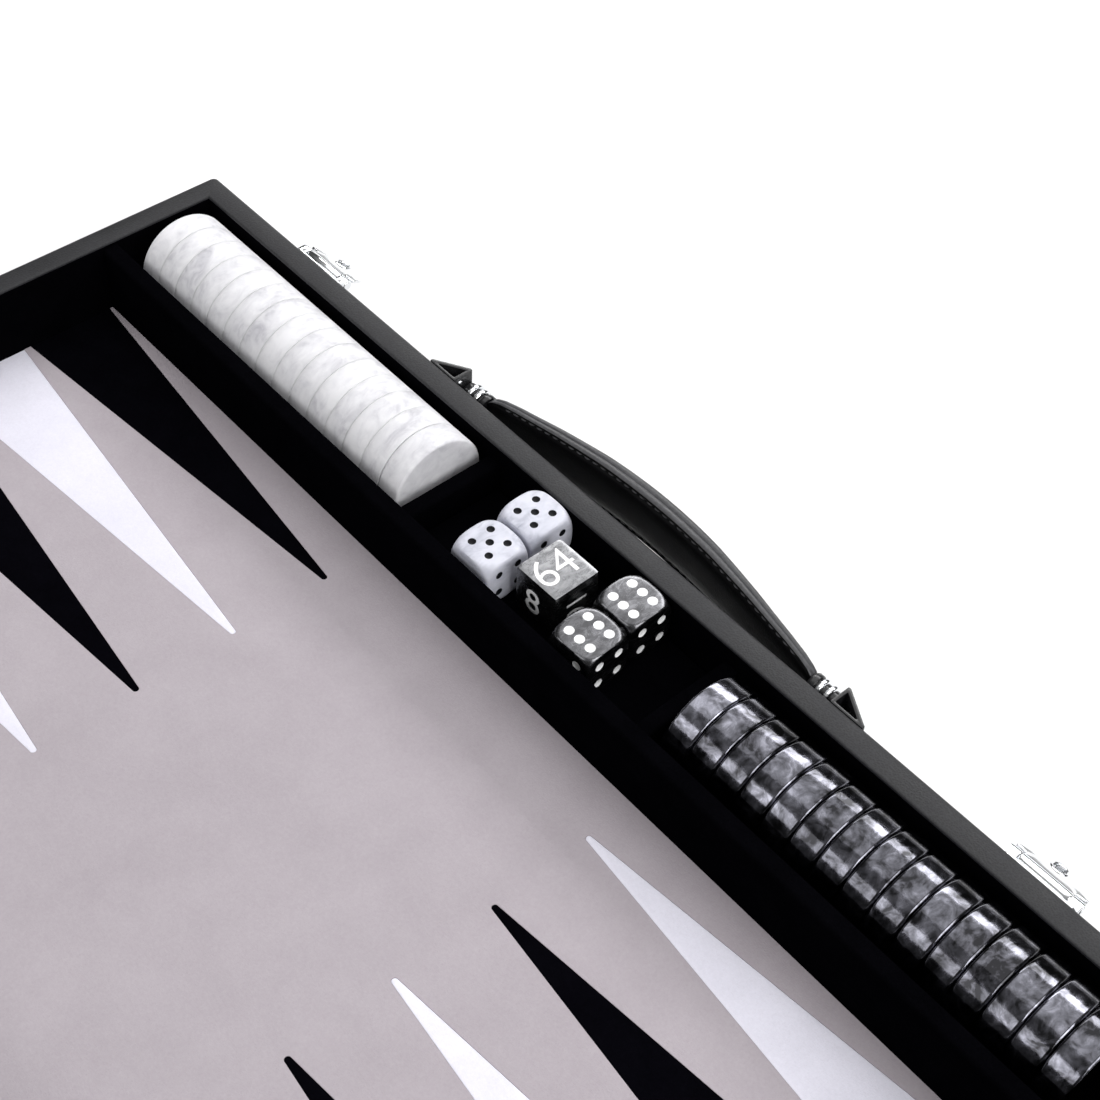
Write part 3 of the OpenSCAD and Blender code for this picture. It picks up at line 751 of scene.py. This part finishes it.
NUMERALS = [  # (number, size, shift right, shift up, right, up, normal)
    ("64", 16.2, -0.7, 1.2, (0, 1, 0), (-1, 0, 0), (0, 0, 1)),
    ("8", 14.2, -1.2, -1.0, (1, 0, 0), (0, 0, 1), (0, -1, 0)),
    ("16", 12.5, 2.2, 0, (0, 0, -1), (0, 1, 0), (1, 0, 0)),
    ("32", 14.2, 0, 0, (-1, 0, 0), (0, 0, 1), (0, 1, 0)),
    ("4", 14.2, 0, 0, (0, -1, 0), (0, 0, 1), (-1, 0, 0)),
    ("2", 14.2, 0, 0, (0, 1, 0), (1, 0, 0), (0, 0, -1))]
xf = at(*mid("doubling_cube")) @ spin(0.8, "Z")
p = Piece().add(*soft_cube(18.2, 0.872, 44, 44, 30), 0, xf)
for text, size, dx, dy, right, up, normal in NUMERALS:
    m = Matrix((right, up, normal)).transposed().to_4x4()
    p.add(*numeral(text, size, -0.14 if len(text) == 2 else 0.04), 1, xf @ m @ at(dx, dy, 9.08))
cube = seeded(p.object("doubling_cube_numbered", [CUBE_GREY, PIP_WHITE], 45), 3.0)
place(cube, "doubling_cube", "cube_grey", "doubling_cube")

# ---------------------------------------------------------------- carry handle
# (share of the half length, share of the half width)
TAPER = [(0.0, 0.97), (0.33, 0.97), (0.6, 0.87), (0.83, 0.7), (0.92, 0.58), (0.97, 0.44), (0.995, 0.3)]


def strap_half_width(x):
    x = abs(x) / STRAP_END
    for (x0, w0), (x1, w1) in zip(TAPER, TAPER[1:]):
        if x <= x1:
            return STRAP_WIDE * (w0 + (w1 - w0) * (x - x0) / (x1 - x0))
    return STRAP_WIDE * TAPER[-1][1]


def bend(x):
    return (1 + math.cos(math.pi * x / STRAP_BOW)) / 2


def strap_sides(x):
    """(inner, outer) y of the padded strap at x"""
    return 144.05 + 6.95 * bend(x), 147.55 + 10.45 * bend(x)


def strap_point(x, t, z):
    """t: -2 on the inner side to 2 on the outer side, z: height from its middle"""
    lo, hi = strap_sides(x)
    return (x, (lo + hi) / 2 + t * (hi - lo) / 4, PIVOT[1] + z)


# half of the outer side across the strap: rounded edge, stitched groove, padded middle
SECTION = [(-1.0, 0.25), (-1.0, 0.9), (-0.985, 1.25), (-0.965, 1.45), (-0.93, 1.55), (-0.87, 1.5),
           (-0.835, 1.28), (-0.80, 1.3), (-0.76, 1.62), (-0.6, 1.9), (-0.3, 2.0), (0.0, 2.0)]
OUTER = SECTION + [(-u, t) for u, t in reversed(SECTION[:-1])]
RING = OUTER + [(0.975, 0.0)] + [(u, -t) for u, t in reversed(OUTER)] + [(-0.975, 0.0)]
stations = [75.6 * math.sin(math.pi / 2 * k / 40) for k in range(-40, 41)]
p = Piece()
p.loops([[strap_point(x, t, u * strap_half_width(x)) for u, t in RING] for x in stations])
n = len(RING)
# faces along the strap's top and bottom edges take the lighter colour, a painted highlight
edge = [k for k, (u, t) in enumerate(RING) if abs(u) > 0.96]
for k, face in enumerate(p.f):
    if len(face) == 4 and all((i % n) in edge for i in face):
        p.m[k] = 1
for side in (1, -1):
    for lane in (1, -1):
        x = -67.5
        while x < 67.5:
            ends = [strap_point(b, side * 1.32, lane * 0.825 * strap_half_width(b)) for b in (x, x + 2.5)]
            tilt = side * 0.295 * math.sin(math.pi * x / STRAP_BOW)
            stitch(p, *ends, (tilt * 0.5, side, 0), 0.28)
            x += 3.5
strap = p.object("handle_strap_stitched", [STRAP_BLACK_AND_SHADE, STRAP_EDGE_HIGHLIGHT, THREAD], 50)
place(strap, "carry_handle", "leatherette", "handle_strap")

p = Piece()
for s in (1, -1):
    xf = at(0, *PIVOT) @ spin(s * 90, "Y")
    core = [(0, 77.5), (1.55, 77.5), (1.55, 87.0), (3.1, 87.0), (3.4, 86.7), (3.4, 78.6), (3.9, 78.5),
            (4.2, 78.1), (4.2, 76.4), (3.9, 76.0), (0, 76.0)]
    p.add(*lathe(core, 40), 1, xf)
    for x0 in (79.2, 82.5):
        x1 = x0 + 1.9
        band = [(3.3, x0), (3.9, x0)] + arc(3.8, x0 + 0.8, 0.8, -65, 0) \
            + arc(3.8, x1 - 0.8, 0.8, 0, 65) + [(3.9, x1), (3.3, x1), (3.3, x0)]
        p.add(*lathe(band, 48), 0, xf)
    tang = at(s * 72, sum(strap_sides(72)) / 2, PIVOT[1]) @ spin(-s * 6, "Z")
    p.add(*rounded_box((-5, -0.7, -2.2), (4.4, 0.7, 2.2), 0.2, 1), 0, tang)
place(p.object("handle_end_fittings", [CHROME, LACQUER_AND_SLOT_SHADE], 40), "carry_handle", "chrome", "handle_ends")

p = Piece()
x0 = BRACKET_X
for s in (1, -1):
    outer = [(x0, HY), (x0 + 13, HY), (x0 + 13, HY + 1), (x0 + 1, HY + 8.2), (x0, HY + 8.2)]
    inner = [(x0 + 1.2, HY + 1), (x0 + 10.2, HY + 1), (x0 + 1.2, HY + 6.5)]
    outer = fillet(outer, [0.25, 0.25, 0.3, 0.5, 0.4], 5)
    inner = fillet(inner, [0.3, 0.25, 0.25], 5)
    flip = Matrix.Identity(4) if s > 0 else Matrix.Scale(-1, 4, (1, 0, 0))
    p.add(*prism(resample(outer, 120), 21.0, 37.0, [resample(inner, 120)], 0.18, 2), 0, flip)
    pin = at(0, *PIVOT) @ spin(90, "Y")
    p.add(*lathe([(0, 77.7), (1.5, 77.7), (1.5, x0 + 1.15), (0, x0 + 1.15)], 28), 1, flip @ pin)
    # bright rivet head at the root of the eye plate
    p.add(*button(1.1, 0.35, 0.2), 1, flip @ at(x0 + 0.05, HY + 2.4, 34.2) @ spin(-90, "Y"))
place(p.object("handle_bracket_strips", [LACQUER_AND_SLOT_SHADE, CHROME], 40), "base", "bracket_black", "handle_brackets")

# ---------------------------------------------------------------- latches
# takes an outline x, y to x, z, raised along +Y
TURN_OUT = Matrix(((1, 0, 0, 0), (0, 0, 1, 0), (0, 1, 0, 0), (0, 0, 0, 1)))
p = Piece()
for x in LATCHES:
    plate = at(x, HY, 0) @ TURN_OUT
    p.add(*prism(rect(13, 10.25, 2.5, cy=25.75), 0, 1.2, bevel=0.35, seg=3), 0, plate)
    p.add(*prism(rect(10, 4.9, 2.0, cy=22.2), 1.0, 1.45, bevel=0.22, seg=2), 0, plate)
    for s in (-1, 1):
        p.add(*button(2.0, 0.5, 0.3), 0, plate @ at(s * 9.0, 19.5, 1.15))
        y, z = LATCH_PIN
        ear = [(140.9, z - 2.2)] + arc(y, z, 2.2, -90, 90, 12) + [(140.9, z + 2.2)]
        v, f = prism(ear, x + s * 11 - 2, x + s * 11 + 2, bevel=0.3, seg=2)
        p.add([(c, a, b) for a, b, c in v], f)
    pin = [(0, -12.8), (1.0, -12.8), (1.0, 12.8), (0, 12.8)]
    p.add(*lathe(pin, 24), 0, at(x, *LATCH_PIN) @ spin(90, "Y"))
    for s in (-1, 1):
        p.add(*button(1.35, 0.25, 0.15), 0, at(x + s * 13.0, *LATCH_PIN) @ spin(s * 90, "Y"))
place(p.object("latch_plates_chrome", [CHROME], 40), "base", "chrome", "latch_plates")

for side, x in zip(("left", "right"), LATCHES):
    xf = at(x, *LATCH_PIN) @ spin(-122, "X")
    p = Piece()
    # rolled knuckle, a neck and the half-round plate with a softly domed face
    knuckle = [(1.05, -8.7), (2.0, -8.7), (2.2, -8.4), (2.2, 8.4), (2.0, 8.7), (1.05, 8.7), (1.05, -8.7)]
    p.add(*lathe(knuckle, 40), 0, xf @ spin(90, "Y"))
    line = [(-8.7, 0.6), (8.7, 0.6), (8.7, 2.5), (12.4, 3.1)] + arc(0, 2.5, 12.5, 5, 175, 36) \
        + [(-12.4, 3.1), (-8.7, 2.5)]
    line = resample(line, 96)
    eye = Vector((0, 8.3))
    hole = [tuple(eye + (Vector(q) - eye).normalized() * 2.2) for q in line]
    v, f = prism(line, 0.8, 2.0, [hole], 0.3, 3)
    p.add([(a, -c, b) for a, b, c in v], f, 0, xf)
    back = [(2.2, -0.2), (3.15, -0.2), (3.1, 0.1), (2.85, 0.25), (2.5, 0.25), (2.25, 0.1), (2.2, -0.2)]
    p.add(*lathe(back, 40), 0, xf @ at(0, -2.0, 8.3) @ spin(90, "X"))
    front = [(2.25, 0.0), (3.2, 0.0), (3.2, 0.55), (2.95, 0.8), (2.25, 0.8), (2.25, 0.0)]
    p.add(*lathe(front, 40), 0, xf @ at(0, -0.81, 8.3) @ spin(-90, "X"))
    hasp = "latch_hasp_" + side
    place(p.object(hasp + "_chrome", [CHROME], 40), "latch_" + side, "chrome", hasp)

p = Piece()
for x in LATCHES:
    plate = at(x, -420.8, 0) @ Matrix(((1, 0, 0, 0), (0, 0, -1, 0), (0, 1, 0, 0), (0, 0, 0, 1)))
    p.add(*prism(rect(12, 5.75, 2.0, cy=30.95), 0, 1.2, bevel=0.35, seg=3), 0, plate)
    stud = [(0, 1.0), (1.5, 1.0), (1.5, 1.8), (1.8, 2.3), (1.8, 2.7), (1.4, 3.2), (0, 3.4)]
    p.add(*lathe(stud, 36), 0, plate @ at(0, 33.7, 0))
    for s in (-1, 1):
        p.add(*button(1.6, 0.18, 0.12), 0, plate @ at(s * 8.8, 30.7, 1.15))
place(p.object("latch_catches_chrome", [CHROME], 40), "lid", "chrome", "latch_catches")


# ---------------------------------------------------------------- dice cups
def stadium(d, n=24):
    """outline of a cup, d inside its outer face"""
    half = arc(CUP_FLAT, 0, CUP_R - d, -90, 90, n)
    return half + [(-x, -y) for x, y in half]


CUP_OUTER = [(1.6, 0.0), (0.9, 0.12), (0.25, 0.6), (0.0, 1.4), (0.0, 5.2), (0.22, 5.5), (0.0, 5.8),
             (0.0, 76.2), (0.22, 76.5), (0.0, 76.8), (0.0, 80.4), (0.3, 81.3), (1.1, 81.9), (1.9, 82.0),
             (2.9, 81.8), (3.55, 81.2), (3.7, 80.4), (3.7, 73.3)]
CUP_INNER = [(3.2, 73.0), (2.5, 73.0), (2.5, 4.0), (2.9, 3.2), (3.9, 3.0)]
for name, x, y, turn in (("dice_cup_1", -62, -320.8, 4), ("dice_cup_2", 48, -330.8, -5)):
    xf = at(x, y, FIELD_Z + CUP_R) @ spin(turn, "Z") @ spin(-90, "X")
    p = Piece()
    rings = [[(a, b, z) for a, b in stadium(d)] for d, z in CUP_OUTER + CUP_INNER]
    p.loops(rings, xf=xf)
    n = len(rings[0])
    for k, face in enumerate(p.f):
        if len(face) == 4 and min(i // n for i in face) >= len(CUP_OUTER) - 1:
            p.m[k] = 1
    p.m[-1] = 1
    # seam down the back with two rows of stitches, and a row at each end
    p.add(*rounded_box((-1.7, -24.0, 6.5), (1.7, -23.6, 75.5), 0.15, 1), 0, xf)
    z = 8.0
    while z < 73:
        for s in (-1, 1):
            ends = [xf @ Vector((s * 1.1, -23.98, h)) for h in (z, z + 2.4)]
            stitch(p, *ends, xf.to_3x3() @ Vector((0, -1, 0)), 0.24)
        z += 3.4
    for level in (3.2, 78.8):
        path = [Vector((a, b, level)) for a, b in stadium(0.0, 60)]
        length, want, inside = 0.0, 0.0, None
        for a, b in zip(path, path[1:] + path[:1]):
            seg = (b - a).length
            while want <= length + seg:
                q = a + (b - a) * ((want - length) / seg) if seg > 1e-6 else a.copy()
                if inside is None:
                    inside = q
                else:
                    c = (q + inside) / 2
                    away = Vector((c.x - max(-CUP_FLAT, min(CUP_FLAT, c.x)), c.y, 0)).normalized()
                    stitch(p, xf @ inside, xf @ q, xf.to_3x3() @ away, 0.24)
                    inside = None
                want += 2.4 if inside is not None else 1.1
            length += seg
    place(p.object(name + "_leatherette", [LEATHER, BLACK_FELT, THREAD], 50), name, "leatherette", name)

# ---------------------------------------------------------------- floor, light and camera
m, nt, b = material("pale_table", 0.75)
grain = noise(nt, coords(nt), 14, 3, 0.5)
nt.links.new(ramp(nt, grain, [(0.3, (0.86, 0.86, 0.865)), (0.7, (0.9, 0.9, 0.905))]), b.inputs["Base Color"])
far = nt.nodes.new("ShaderNodeVectorMath")
far.operation = "LENGTH"
nt.links.new(coords(nt), far.inputs[0])
b.inputs["Emission Color"].default_value = (1.0, 1.0, 1.0, 1)
nt.links.new(remap(nt, far.outputs["Value"], 0.7, 2.4, 0.0, 0.62), b.inputs["Emission Strength"])
me = bpy.data.meshes.new("floor")
me.from_pydata([(-6, -6, -0.0004), (6, -6, -0.0004), (6, 6, -0.0004), (-6, 6, -0.0004)], [], [(0, 1, 2, 3)])
me.materials.append(m)
floor = bpy.data.objects.new("floor", me)
bpy.context.scene.collection.objects.link(floor)

world = bpy.data.worlds.new("studio")
bpy.context.scene.world = world
world.use_nodes = True
nt = world.node_tree
axes = nt.nodes.new("ShaderNodeSeparateXYZ")
nt.links.new(nt.nodes.new("ShaderNodeTexCoord").outputs["Generated"], axes.inputs[0])
glow = ramp(nt, axes.outputs["Z"], [(z, (g, g, g)) for z, g in
                                    ((0.0, 0.6), (0.07, 0.6), (0.13, 0.06), (0.42, 0.08), (1.0, 0.5))])
nt.links.new(glow, nt.nodes["Background"].inputs["Color"])
nt.nodes["Background"].inputs["Strength"].default_value = 1.0


def softbox(name, towards, distance, width, height, radiance, aim=(0.0, 0.09, 0.03)):
    """area light of a given radiance, so that its size doesn't change how bright it looks"""
    d = Vector(towards).normalized()
    li = bpy.data.lights.new(name, "AREA")
    li.shape, li.size, li.size_y = "RECTANGLE", width, height
    li.energy = radiance * math.pi * width * height
    li.color = (1.0, 1.0, 1.0)
    o = bpy.data.objects.new(name, li)
    bpy.context.scene.collection.objects.link(o)
    o.location = Vector(aim) + d * distance
    y = d.cross(Vector((1, 0, 0))).normalized()
    x = y.cross(d).normalized()
    o.matrix_world = Matrix.Translation(o.location) @ Matrix((x, y, d)).transposed().to_4x4()
    return o


softbox("top_softbox", (-0.12, 0.27, 0.95), 1.2, 1.55, 1.33, 1.10)
softbox("back_strip", (-0.25, 0.78, 0.62), 1.1, 1.76, 0.30, 5.6)
softbox("front_strip", (-0.22, -0.76, 0.61), 1.7, 2.2, 0.62, 2.5)
softbox("side_softbox", (0.83, 0.02, 0.50), 1.6, 0.9, 1.0, 5.2)

cam = bpy.data.cameras.new("camera")
cam.sensor_width, cam.lens = 36.0, 60.2
cam.clip_start, cam.clip_end = 0.01, 50
o = bpy.data.objects.new("camera", cam)
bpy.context.scene.collection.objects.link(o)
right = (0.65654, 0.75330, 0.03868)
up = (-0.58244, 0.47371, 0.66057)
back = (0.47929, -0.45622, 0.74977)
o.matrix_world = at(0.2668, -0.1477, 0.4685) @ Matrix((right, up, back)).transposed().to_4x4()
bpy.context.scene.camera = o
bpy.context.scene.view_settings.view_transform = "Standard"
